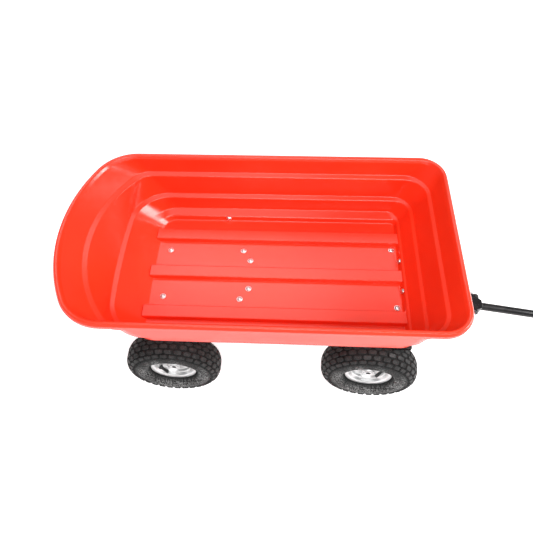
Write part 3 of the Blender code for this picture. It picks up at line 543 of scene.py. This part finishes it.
def blend_low_ledge(column):
    """Lose the lowest ledge in the rear slope and make it a narrow flat step at the front."""
    above, high, low, floor = column[HIGH_CORNER - 1:LOW_CORNER + 2]
    keep = min(max((high.x - LEDGE_END_X) / LEDGE_END_RUN, 0.0), 1.0)
    if keep < 1.0:
        for index, share in LEDGE_END_SHARES:
            column[index] = above.lerp(floor, share).lerp(column[index], keep)
    ahead = min(max((high.x - FRONT_STEP_X) / FRONT_STEP_RUN, 0.0), 1.0)
    if ahead > 0.0:
        column[HIGH_CORNER] = high + Vector((0, 0, -FRONT_STEP_SHIFT)) * ahead
        column[LOW_CORNER] = low + Vector((0, 0, FRONT_STEP_SHIFT)) * ahead


def rib_bars(section, rear, front):
    """The three floor ribs as long bars with upright ends."""
    shape = bmesh.new()
    for step in (-1, 0, 1):
        rows = [[(x, y + step * RIB_PITCH, z) for y, z in section] for x in (rear, front)]
        skin(rows, True, shape)
    bmesh.ops.recalc_face_normals(shape, faces=shape.faces)
    return shape


def rib_section():
    """(y, z) outline of a rib, with a flange just under the floor and rounded edges."""
    base, top = RIB_BASE, RIB_HALF
    skirt, sunk = base + 0.0030, FLOOR_Z - 0.0002
    half = [(skirt, FLOOR_Z - RIB_FOOT), (skirt, sunk), (base, sunk),
            (top, FLOOR_Z + RIB_HEIGHT), (0.0, FLOOR_Z + RIB_HEIGHT)]
    rounded = fillet(half, [0, 0, 0.0022, 0.0026, 0], PROFILE_STEPS)
    points = [(p.x, p.y) for p in rounded][:-1]
    return points + [(-y, z) for y, z in reversed(points)]


def helper(name, shape, place):
    """Plain object for a boolean step."""
    mesh = bpy.data.meshes.new(name)
    shape.to_mesh(mesh)
    shape.free()
    made = bpy.data.objects.new(name, mesh)
    bpy.context.collection.objects.link(made)
    made.matrix_world = place
    return made


def make_tub():
    """One moulded shell with its wall, floor ribs and the hollows under the ribs."""
    columns = tub_columns()
    rings = list(zip(*columns))
    shape = skin(rings)
    shape.faces.ensure_lookup_table()
    shape.verts.ensure_lookup_table()
    count = len(rings[0])
    shape.faces.new(shape.verts[len(rings) * count - count:])
    tub = make_object("moulded_tub", shape, RED, CART)
    thick = tub.modifiers.new("wall", "SOLIDIFY")
    thick.thickness = WALL
    thick.offset = -1.0
    thick.use_even_offset = True
    bars = helper("rib_bars", rib_bars(rib_section(), RIB_REAR, RIB_FRONT), CART)
    low, high = FLOOR_Z - HOLLOW_FOOT, FLOOR_Z + RIB_HEIGHT - WALL
    hollow = [(RIB_BASE - WALL, low), (RIB_HALF - WALL, high), (WALL - RIB_HALF, high),
              (WALL - RIB_BASE, low)]
    spaces = rib_bars(hollow, FLOOR.rear + HOLLOW_REAR, FLOOR.front - HOLLOW_FRONT)
    gaps = helper("rib_gaps", spaces, CART)
    for other, operation in ((bars, "UNION"), (gaps, "DIFFERENCE")):
        step = tub.modifiers.new(other.name, "BOOLEAN")
        step.operation = operation
        step.solver = "EXACT"
        step.object = other
    baked(tub)
    for other in (bars, gaps):
        bpy.data.objects.remove(other)
    tub.data.materials.clear()
    tub.data.materials.append(RED)
    tub.data.shade_smooth()
    tub.data.set_sharp_from_angle(angle=math.radians(50))
    even = tub.modifiers.new("shading", "WEIGHTED_NORMAL")
    even.keep_sharp = True
    even.weight = 90
    fit_in(tub, "tub_body", "red_plastic", "tub")


# ---------------------------------------------------------------- frame parts kept from the CAD
def refined(node, look, body, slot, bevel):
    """The CAD part's own shape with rounded edges and clean flat faces."""
    source = frame["nodes"][node]
    shape = bmesh.new()
    shape.from_mesh(source.data)
    bmesh.ops.remove_doubles(shape, verts=shape.verts, dist=1e-6)
    bmesh.ops.dissolve_limit(shape, angle_limit=math.radians(0.6), verts=shape.verts, edges=shape.edges)
    made = make_object(f"{node}_finished", shape, look, source.matrix_world.copy())
    soften(made, bevel)
    fit_in(made, body, slot, node)


BODY_OF = {node: body for body, nodes in frame["record"]["behaviour"]["bodies"].items() for node in nodes}
# Edge rounding of each black part and of each zinc plated one.
BEVELS = {
    "chassis_spine": 0.0030, "rear_axle_beam": 0.0016, "front_axle_beam": 0.0016,
    "rear_hinge_bracket": 0.0012, "rear_gusset_left": 0.0008, "rear_gusset_right": 0.0008,
    "turntable_upper_plate": 0.0008, "turntable_lower_plate": 0.0008, "bed_rest_post": 0.0022,
    "bed_rest_pad": 0.0020, "latch_bracket": 0.0008, "tub_rail_left": 0.0016,
    "tub_rail_right": 0.0016, "tub_front_cross": 0.0018, "tub_middle_cross": 0.0018,
    "tub_latch_plate": 0.0010, "tub_hinge_left": 0.0008, "tub_hinge_right": 0.0008,
    "striker_bracket": 0.0007, "dump_latch": 0.0009, "drawbar_left": 0.0010,
    "drawbar_right": 0.0010, "handle_stop": 0.0009, "handle_yoke": 0.0011,
    "hitch_clevis": 0.0016,
}
FASTENERS = {
    "tub_hinge_pin": 0.0009, "latch_bolt": 0.0007, "striker_pin": 0.0007, "kingpin": 0.0011,
    "handle_pivot_bolt": 0.0009, "grip_bolt": 0.0006, "rear_axle": 0.0010, "front_axle": 0.0010,
    "hitch_pin": 0.0008,
}


def make_frame():
    for node, bevel in BEVELS.items():
        look, slot = (RUBBER, "tyre_rubber") if node == "bed_rest_pad" else (STEEL, "black_steel")
        refined(node, look, BODY_OF[node], slot, bevel)
    for node, bevel in FASTENERS.items():
        refined(node, ZINC, BODY_OF[node], "zinc_steel", bevel)


# ---------------------------------------------------------------- wheels
def smooth_curve(points, steps):
    """Catmull-Rom curve through 2-D points."""
    points = [Vector(p) for p in points]
    padded = [points[0] * 2 - points[1]] + points + [points[-1] * 2 - points[-2]]
    out = []
    for a, b, c, d in zip(padded, padded[1:], padded[2:], padded[3:]):
        for k in range(steps):
            t = k / steps
            out.append(0.5 * (2 * b + (c - a) * t + (2 * a - 5 * b + 4 * c - d) * t ** 2
                              + (3 * b - a - 3 * c + d) * t ** 3))
    out.append(points[-1])
    return out


# (along, radius) from the crown to the bead
CARCASS = [(0.0, 0.1264), (0.0110, 0.1259), (0.0205, 0.1236), (0.0290, 0.1186), (0.0355, 0.1112),
           (0.0395, 0.1005), (0.0409, 0.0905), (0.0412, 0.0825), (0.0400, 0.0762), (0.0362, 0.0712),
           (0.0305, 0.0682), (0.0255, 0.0662), (0.0222, 0.0648), (0.0208, 0.0632)]


class TyreSurface:
    """Outer half of the tyre as a curve from the crown to the bead, measured along it."""

    def __init__(self):
        self.points = smooth_curve(CARCASS, 4)
        self.lengths = [0.0]
        for a, b in zip(self.points, self.points[1:]):
            self.lengths.append(self.lengths[-1] + (b - a).length)

    def at(self, across, height):
        """(along, radius) at a distance across the tread, raised by height."""
        sign = -1.0 if across < 0 else 1.0
        across = abs(across)
        for i in range(len(self.points) - 1):
            if across <= self.lengths[i + 1] or i == len(self.points) - 2:
                break
        a, b = self.points[i], self.points[i + 1]
        share = (across - self.lengths[i]) / (self.lengths[i + 1] - self.lengths[i])
        ahead = self.points[min(i + 2, len(self.points) - 1)]
        behind = self.points[max(i - 1, 0)]
        along = ((b - behind).lerp(ahead - a, share)).normalized()
        spot = a.lerp(b, share) + Vector((-along.y, along.x)) * height
        return sign * spot.x, spot.y


BLOCK_ROOT, BLOCK_EDGE = 0.0015, 0.0007
OUTLINE_RADIUS = 0.127


def block(shape, surface, angle, across, outline, height):
    """One tread block standing on the carcass, tapered and with a broken top edge."""
    rows = []
    for scale, lift in ((1.0, -BLOCK_ROOT), (0.97, height * 0.55), (0.93, height - BLOCK_EDGE),
                        (0.84, height)):
        row = []
        for around, sideways in outline:
            along, radius = surface.at(across + sideways * scale, lift)
            spot = angle + around * scale / OUTLINE_RADIUS
            row.append((radius * math.cos(spot), along, radius * math.sin(spot)))
        rows.append(row)
    skin(rows, True, shape)


def hexagon(half_length, half_width):
    """(around, sideways) outline of a block in the middle row."""
    shoulder = half_length * 0.52
    return [(-half_length, 0.0), (-shoulder, half_width), (shoulder, half_width), (half_length, 0.0),
            (shoulder, -half_width), (-shoulder, -half_width)]


def lug(half_length, half_width, cut):
    """(around, sideways) outline of an oblong block with cut corners."""
    a, b = half_length, half_width
    return [(-a, -b + cut), (-a, b - cut), (-a + cut, b), (a - cut, b), (a, b - cut), (a, -b + cut),
            (a - cut, -b), (-a + cut, -b)]


TREAD_COUNT = 31
PEBBLE_ACROSS, PEBBLE_HEIGHT = 0.0485, 0.0012
ROUND = 96


def carcass_mesh(surface):
    """Hollow tyre with a ring of small lugs on each shoulder."""
    half = [(p.x, p.y) for p in surface.points]
    inside = [(0.0208, 0.0562), (0.0150, 0.0562), (0.0150, 0.0700), (0.0300, 0.0765), (0.0352, 0.0850),
              (0.0345, 0.0960), (0.0290, 0.1090), (0.0150, 0.1185)]
    outer = [(-a, r) for a, r in half[:0:-1]] + half
    inner = inside + [(-a, r) for a, r in inside[::-1]]
    shape = turned(outer + inner, ROUND, "Y", True)
    for sign in (1, -1):
        for i in range(TREAD_COUNT * 2):
            angle = math.tau * (i + 0.5) / (TREAD_COUNT * 2)
            outline = lug(0.0036, 0.0024, 0.0010)
            block(shape, surface, angle, sign * PEBBLE_ACROSS, outline, PEBBLE_HEIGHT)
    return shape


def tread_mesh(surface):
    """Block pattern that stands on the carcass."""
    shape = bmesh.new()
    # distance from the crown, shift along the row in blocks, outline, height
    rows = [
        (0.0, 0.0, hexagon(0.0116, 0.0052), 0.0036),
        (0.0130, 0.5, lug(0.0104, 0.0051, 0.0026), 0.0038),
        (0.0262, 0.0, lug(0.0104, 0.0053, 0.0026), 0.0038),
        (0.0388, 0.5, lug(0.0100, 0.0046, 0.0020), 0.0034),
    ]
    for across, phase, outline, height in rows:
        for sign in ((1,) if across == 0.0 else (1, -1)):
            for i in range(TREAD_COUNT):
                angle = math.tau * (i + phase) / TREAD_COUNT
                block(shape, surface, angle, across * sign, outline, height)
    return shape


def rim_mesh():
    """Pressed steel rim with a coned disc; +Y is its outer face."""
    flange = 0.0635
    outer = [
        (0.0070, 0.0424), (0.0100, 0.0444), (0.0120, 0.0476), (0.0196, 0.0500), (0.0212, 0.0530),
        (0.0214, 0.0618), (0.0227, flange), (0.0243, 0.0624), (0.0238, 0.0545), (0.0217, 0.0510),
        (0.0148, 0.0464), (0.0134, 0.0430),
    ]
    disc = [
        (0.0075, 0.0412), (0.0062, 0.0380), (0.0066, 0.0250), (0.0100, 0.0190), (0.0176, 0.0165),
        (0.0184, 0.0127), (-0.0555, 0.0127), (-0.0555, 0.0165), (0.0036, 0.0165), (0.0044, 0.0250),
        (0.0040, 0.0385), (-0.0060, 0.0402),
    ]
    inner = [
        (-0.0106, 0.0424), (-0.0130, 0.0452), (-0.0217, 0.0510), (-0.0238, 0.0545), (-0.0243, 0.0624),
        (-0.0227, flange), (-0.0214, 0.0618), (-0.0212, 0.0530), (-0.0196, 0.0500), (-0.0120, 0.0476),
        (-0.0100, 0.0444), (-0.0070, 0.0424),
    ]
    points = fillet(outer + disc + inner, 0.0016, 3, closed=True)
    return turned([(p.x, p.y) for p in points], ROUND, "Y", True)


def bearing_mesh():
    """Sealed bearing at each end of the hub with a spacer between them."""
    outer, inner = 0.0122, 0.0084
    profile = [(-0.0547, inner), (-0.0547, 0.0097), (-0.0539, 0.0101), (-0.0539, 0.0111),
               (-0.0547, 0.0115), (-0.0547, outer), (-0.0425, outer), (-0.0421, 0.0105),
               (0.0050, 0.0105), (0.0054, outer), (0.0172, outer), (0.0172, 0.0115), (0.0164, 0.0111),
               (0.0164, 0.0101), (0.0172, 0.0097), (0.0172, inner)]
    return turned(profile, 48, "Y", True)


def hub_cap_mesh():
    """Pressed ring round the end of the hub."""
    return turned([(0.0174, 0.0064), (0.0174, 0.0110), (0.0180, 0.0124), (0.0190, 0.0124),
                   (0.0194, 0.0112), (0.0190, 0.0078), (0.0184, 0.0064)], 48, "Y", True)


def hub_plug_mesh():
    """Black disc in front of the axle's end."""
    return turned([(0.0124, 0.0), (0.0124, 0.0080), (0.0150, 0.0080), (0.0156, 0.0070),
                   (0.0156, 0.0)], 32, "Y")


def valve_mesh(base, tip):
    """Rubber snap-in valve stem with a ribbed neck and a screw cap."""
    base, tip = Vector(base), Vector(tip)
    profile = [(-0.002, 0.0), (-0.002, 0.0062), (0.0005, 0.0066), (0.0016, 0.0058), (0.0030, 0.0046),
               (0.0070, 0.0042)]
    for k in range(3):
        start = 0.0080 + 0.0022 * k
        profile += [(start, 0.0042), (start + 0.0004, 0.0038), (start + 0.0011, 0.0038),
                    (start + 0.0015, 0.0042)]
    length = (tip - base).length  # the cap ends at the tip
    profile += [(length - 0.0100, 0.0040), (length - 0.0098, 0.0046), (length - 0.0008, 0.0045),
                (length, 0.0038), (length, 0.0)]
    shape = turned(profile, 24, "Y")
    turn = Vector((0, 1, 0)).rotation_difference(tip - base).to_matrix().to_4x4()
    shape.transform(Matrix.Translation(base) @ turn)
    return shape


# Foot and tip of each valve stem, in its wheel's own axes.
VALVES = {
    "rear_right": ((0.0400, 0.0137, -0.0150), (0.0170, 0.0275, -0.0147)),
    "front_right": ((-0.0415, 0.0060, 0.0065), (-0.0196, 0.0275, 0.0050)),
    "rear_left": ((0.0300, 0.0115, 0.0300), (0.0135, 0.0260, 0.0140)),
    "front_left": ((-0.0250, 0.0115, -0.0340), (-0.0120, 0.0260, -0.0160)),
}


def make_wheels():
    surface = TyreSurface()
    still = Matrix.Identity(4)
    # Carcass and tread take different colours so the grooves between the blocks carry painted shade.
    tyre = make_object("tyre_master", carcass_mesh(surface), RUBBER, still, 30)
    tread = make_object("tread_master", tread_mesh(surface), TREAD, still, 30)
    rim = make_object("rim_master", rim_mesh(), RIM, still, 60)
    bearing = make_object("bearing_master", bearing_mesh(), PLASTIC, still, 40)
    cap = make_object("cap_master", hub_cap_mesh(), RIM, still, 50)
    plug = make_object("plug_master", hub_plug_mesh(), PLASTIC, still, 40)
    for corner in CORNERS:
        place = wheel_place(corner)
        body = f"wheel_{corner}"
        rows = ((tyre, "tyre_carcass", "tyre_rubber", f"tyre_{corner}"),
                (tread, "tyre_tread", "tyre_rubber", None),
                (rim, "pressed_rim", "silver_rim", f"rim_{corner}"),
                (bearing, "hub_bearing", "black_plastic", f"bearing_{corner}"),
                (cap, "hub_cap", "silver_rim", None),
                (plug, "hub_plug", "black_plastic", None))
        for master, name, slot, node in rows:
            made = bpy.data.objects.new(f"{name}_{corner}", master.data)
            bpy.context.collection.objects.link(made)
            made.matrix_world = place
            fit_in(made, body, slot, *((node,) if node else ()))
        stem = make_object(f"valve_stem_{corner}", valve_mesh(*VALVES[corner]), PLASTIC, place, 40)
        fit_in(stem, body, "black_plastic")
    for master in (tyre, tread, rim, bearing, cap, plug):
        bpy.data.objects.remove(master)


# ---------------------------------------------------------------- bolts in the tub
def bolt_mesh(shank, grip):
    """Domed head, shank and flanged nut; the head looks along +Z, the nut starts grip below it."""
    head = [(0.0046, 0.0), (0.0045, 0.0018), (0.0040, 0.0038), (0.0030, 0.0057), (0.0019, 0.0066),
            (0.0014, 0.0067), (0.0013, 0.0078), (0.0002, 0.0080), (0.0000, 0.0076)]
    nut = [(0.0, shank), (-grip, shank), (-grip, 0.0078), (-grip - 0.0012, 0.0078),
           (-grip - 0.0014, 0.0066), (-grip - 0.0055, 0.0066), (-grip - 0.0055, 0.0042),
           (-grip - 0.0085, 0.0038), (-grip - 0.0085, 0.0)]
    nut_flats = (len(head) + 4, len(head) + 5)
    return turned(head + nut, 24, "Z", False, nut_flats)


HEAD_LIFT = 0.0003
# Floor bolts as (x, y) on the left, with a twin on the right; riser bolts as (spot, facing).
BOLT_SPOTS = {"rear": (-0.0237, 0.0757), "middle": (0.1835, 0.0787), "inner": (0.2048, 0.0454),
              "front": (0.5985, 0.0924)}
RISER_SPOTS = {
    "front_left": ((0.6148, 0.049, 0.2905), (-1, 0, 0.24)),
    "front_right": ((0.6148, -0.046, 0.2905), (-1, 0, 0.24)),
    "side_left": ((0.1323, 0.1893, 0.2872), (0, -1, 0.30)),
    "side_right": ((0.1323, -0.1893, 0.2872), (0, 1, 0.30)),
}


def make_bolts():
    for name, (x, y) in BOLT_SPOTS.items():
        for side, sign in (("left", 1), ("right", -1)):
            place = CART @ Matrix.Translation((x, sign * y, FLOOR_Z + HEAD_LIFT))
            shape = bolt_mesh(shank=0.004, grip=0.0197)
            bolt = make_object(f"floor_bolt_{name}_{side}", shape, ZINC, place, 40)
            fit_in(bolt, "tub_body", "zinc_steel", f"tub_bolt_{name}_{side}")
    for name, (spot, facing) in RISER_SPOTS.items():
        turn = Vector((0, 0, 1)).rotation_difference(Vector(facing)).to_matrix().to_4x4()
        place = CART @ Matrix.Translation(spot) @ turn
        shape = bolt_mesh(shank=0.003, grip=0.0042)
        bolt = make_object(f"riser_bolt_{name}", shape, ZINC, place, 40)
        fit_in(bolt, "tub_body", "zinc_steel")


# ---------------------------------------------------------------- handle
def make_handle():
    """Tube with its welds, the cap on the pivot, and the hand grip with its ribbed sleeve."""
    low, high = 0.0268, 0.7450  # ends of the tube, ahead of the pivot
    ring = [(low, 0.0092), (low, 0.0106), (low + 0.0005, 0.0110), (high - 0.0005, 0.0110),
            (high, 0.0106), (high, 0.0092)]
    tube = make_object("handle_tube_finished", turned(ring, 64, "X", True), STEEL, HANDLE, 30)
    fit_in(tube, "handle", "black_steel", "handle_tube")
    for name, x in (("root", low), ("jaw", high)):
        ring = [(x - 0.0016, 0.0106), (x - 0.0014, 0.0120), (x, 0.0126), (x + 0.0014, 0.0122),
                (x + 0.0020, 0.0112), (x + 0.0016, 0.0106)]
        weld = make_object(f"tube_weld_{name}", turned(ring, 64, "X", True), WELD, HANDLE, 40)
        fit_in(weld, "handle", "black_steel")
    knob = turned([(0.0100, 0.0), (0.0100, 0.0104), (0.0220, 0.0110), (0.0290, 0.0110), (0.0316, 0.0096),
                   (0.0330, 0.0064), (0.0335, 0.0)], 40, "Y")
    cap = make_object("pivot_cap", knob, PLASTIC, HANDLE @ Matrix.Translation((0.0120, 0, 0.002)), 50)
    fit_in(cap, "handle", "black_plastic")
    pivot, bar, wide, arm, bend = 0.768, 0.900, 0.058, 0.0260, 0.0155
    path = [(-0.010, arm), (0.016, arm), (0.026, arm + 0.004), (0.050, wide - 0.004), (0.060, wide),
            (bar - pivot, wide), (bar - pivot, 0.0)]
    half = fillet(path, [0, 0.02, 0.03, 0.03, 0.03, bend, 0], 8)
    points = [(p.x, p.y, 0) for p in half] + [(p.x, -p.y, 0) for p in reversed(half[:-1])]
    place = HANDLE @ Matrix.Translation((pivot, 0, 0))
    loop = make_object("grip_loop_finished", swept(points, 0.0074, 24), STEEL, place, 40)
    fit_in(loop, "grip", "black_steel", "grip_loop")
    rows = [(-0.0415, 0.0081), (-0.0415, 0.0125), (-0.0405, 0.0142), (-0.0385, 0.0145)]
    for k in range(11):
        start = -0.0350 + 0.0064 * k
        rows += [(start, 0.0141), (start + 0.0010, 0.0128), (start + 0.0022, 0.0128),
                 (start + 0.0032, 0.0141)]
    rows += [(0.0385, 0.0145), (0.0405, 0.0142), (0.0415, 0.0125), (0.0415, 0.0081)]
    sleeve = turned(rows, 40, "Y", True)
    on_bar = place @ Matrix.Translation((bar - pivot, 0, 0))
    grip = make_object("ribbed_hand_grip", sleeve, PLASTIC, on_bar, 30)
    fit_in(grip, "grip", "black_plastic", "grip_sleeve")
    refined("latch_grip", PLASTIC, "latch", "black_plastic", 0.0022)


# ---------------------------------------------------------------- stage, lights and camera
STAGE_HALF = 60
STAGE_DROP = 0.0005
LIGHTS = {  # where it hangs, where it points, width and depth, watts
    "overhead": ((-0.9, 0.05, 2.6), (-0.4, 0, 0.3), (3.2, 1.5), 22),
    "beyond": ((-0.4, 1.50, 2.5), (-0.4, 0, 0.3), (2.6, 0.6), 11),
    "key": ((-0.10, -1.10, 1.62), (-0.40, 0.05, 0.30), (1.7, 0.60), 25),
    "front_strip": ((-0.4, -2.4, 1.35), (-0.4, -0.2, 0.4), (3.0, 0.10), 7),
    "far_side": ((1.20, -0.20, 1.14), (-0.80, 0.17, 0.30), (0.75, 0.45), 25),
}
CAMERA_DOWN, CAMERA_YAW, CAMERA_ROLL = 56.621, -4.587, -2.435
CAMERA_SPOT = (0.31325, -0.75554, 1.47373)  # from the rear axle
CAMERA_LENS, CAMERA_SENSOR = 34.76, 36.0


def make_stage():
    shape = bmesh.new()
    for x, y in ((-1, -1), (1, -1), (1, 1), (-1, 1)):
        shape.verts.new((x * STAGE_HALF, y * STAGE_HALF, 0))
    shape.faces.new(shape.verts)
    look = Look("pale_floor", (0.80, 0.80, 0.80), 0.75)
    look.set("Specular IOR Level", 0.1)
    look.set("Emission Color", (1.0, 1.0, 1.0, 1.0))
    look.set("Emission Strength", 0.70)
    floor = make_object("studio_floor", shape, look.material, Matrix.Translation((0, 0, -STAGE_DROP)))


def area_light(name, spot, target, size, power):
    data = bpy.data.lights.new(name, "AREA")
    data.shape = "RECTANGLE"
    data.size, data.size_y = size
    data.energy = power
    lamp = bpy.data.objects.new(name, data)
    bpy.context.collection.objects.link(lamp)
    lamp.location = spot
    lamp.rotation_euler = (Vector(target) - Vector(spot)).to_track_quat("-Z", "Y").to_euler()


def make_light():
    world = bpy.data.worlds.new("studio")
    bpy.context.scene.world = world
    world.use_nodes = True
    back = world.node_tree.nodes["Background"]
    back.inputs["Color"].default_value = (1, 1, 1, 1)
    back.inputs["Strength"].default_value = 0.22
    for name, row in LIGHTS.items():
        area_light(name, *row)


def make_camera():
    down, yaw, roll = (math.radians(angle) for angle in (CAMERA_DOWN, CAMERA_YAW, CAMERA_ROLL))
    ahead = Vector((math.sin(yaw) * math.cos(down), math.cos(yaw) * math.cos(down), -math.sin(down)))
    level = Vector((math.cos(yaw), -math.sin(yaw), 0))
    above = level.cross(ahead)
    right = level * math.cos(roll) + above * math.sin(roll)
    up = above * math.cos(roll) - level * math.sin(roll)
    data = bpy.data.cameras.new("photo_view")
    data.sensor_width = CAMERA_SENSOR
    data.lens = CAMERA_LENS
    data.clip_start = 0.01
    camera = bpy.data.objects.new("photo_view", data)
    bpy.context.collection.objects.link(camera)
    spot = Vector(CAMERA_SPOT) + Vector((AXLE_X, 0, 0))
    turn = Matrix((right, up, -ahead)).transposed().to_4x4()
    camera.matrix_world = Matrix.Translation(spot) @ turn
    bpy.context.scene.camera = camera
    bpy.context.scene.view_settings.view_transform = "Standard"


make_camera()
make_stage()
make_light()
make_tub()
make_frame()
make_wheels()
make_bolts()
make_handle()
